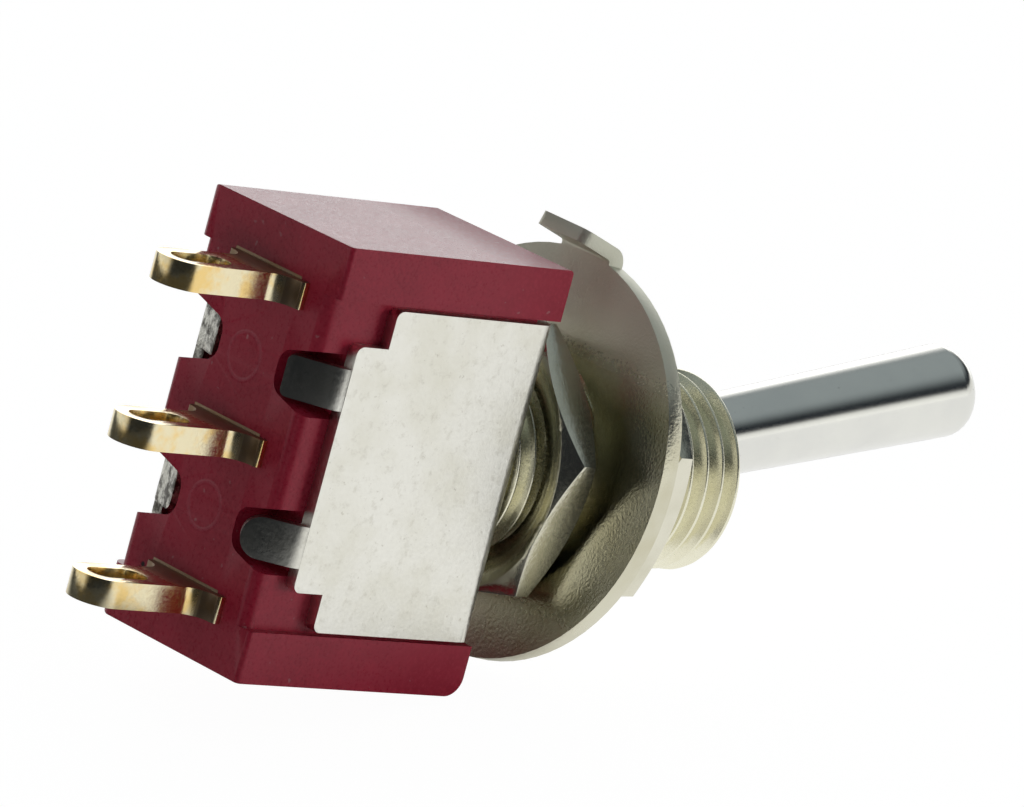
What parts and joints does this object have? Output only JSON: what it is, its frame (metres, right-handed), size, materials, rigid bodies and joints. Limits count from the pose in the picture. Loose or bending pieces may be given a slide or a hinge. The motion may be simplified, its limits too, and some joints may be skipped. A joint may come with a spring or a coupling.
{
  "type": "toggle switch",
  "caption": "Miniature panel toggle switch: moulded case in a folded steel frame, threaded bushing with hex nuts and a locating ring, bat handle and solder lugs.",
  "frame": {"origin": "on the bushing's axis, at the outer face of the steel frame's top plate, where a panel would bear without the inner nut", "axes": "+Z along the bushing, towards the handle; X along the case and the row of terminals, with the handle's rest position leaning to -X; Y across the case"},
  "size_m": [0.0137, 0.0124, 0.0329],
  "materials": {
    "case_moulding": "semi-gloss thermoset moulding, dull dark red",
    "frame_steel": "matte tin-plated sheet steel",
    "bushing_metal": "nickel-plated brass, turned",
    "nut_metal": "nickel-plated brass, bright",
    "ring_steel": "nickel-plated stamped steel",
    "handle_chrome": "bright chromium-plated brass",
    "plunger_plastic": "natural nylon",
    "spring_steel": "drawn stainless wire",
    "rocker_copper": "copper alloy strip",
    "support_brass": "plain brass",
    "terminal_gold": "gold-plated copper alloy",
    "contact_silver": "silver"
  },
  "bodies": {
    "housing": {"case": "case_moulding", "mounting_frame": "frame_steel", "bushing": "bushing_metal", "inner_nut": "nut_metal", "outer_nut": "nut_metal", "locating_ring": "ring_steel", "rocker_support": "support_brass", "terminal_left": "terminal_gold", "terminal_common": "terminal_gold", "terminal_right": "terminal_gold", "fixed_contact_left": "contact_silver", "fixed_contact_right": "contact_silver"},
    "lever": {"handle": "handle_chrome", "plunger_spring": "spring_steel"},
    "plunger_pin": {"plunger": "plunger_plastic"},
    "rocker": {"rocker_contact": "rocker_copper", "moving_contact_left": "contact_silver", "moving_contact_right": "contact_silver"}
  },
  "joints": [
    {"name": "lever_tilt", "type": "hinge", "parent": "housing", "child": "lever", "pos_m": [0, 0, 0.0057], "axis": [0, 1, 0], "range_deg": [0, 26]},
    {"name": "plunger_slide", "type": "slide", "parent": "lever", "child": "plunger_pin", "axis": [-0.225, 0, 0.9744], "range_m": [0, 0.0005], "stiffness_N_per_m": 200, "deforming": ["plunger_spring"]},
    {"name": "rocker_tilt", "type": "hinge", "parent": "housing", "child": "rocker", "pos_m": [0, 0, -0.0053], "axis": [0, 1, 0], "range_deg": [-20, 0]}
  ],
  "couplings": [
    {"joint": "rocker_tilt", "follows": "lever_tilt", "ratio": -0.76923}
  ]
}
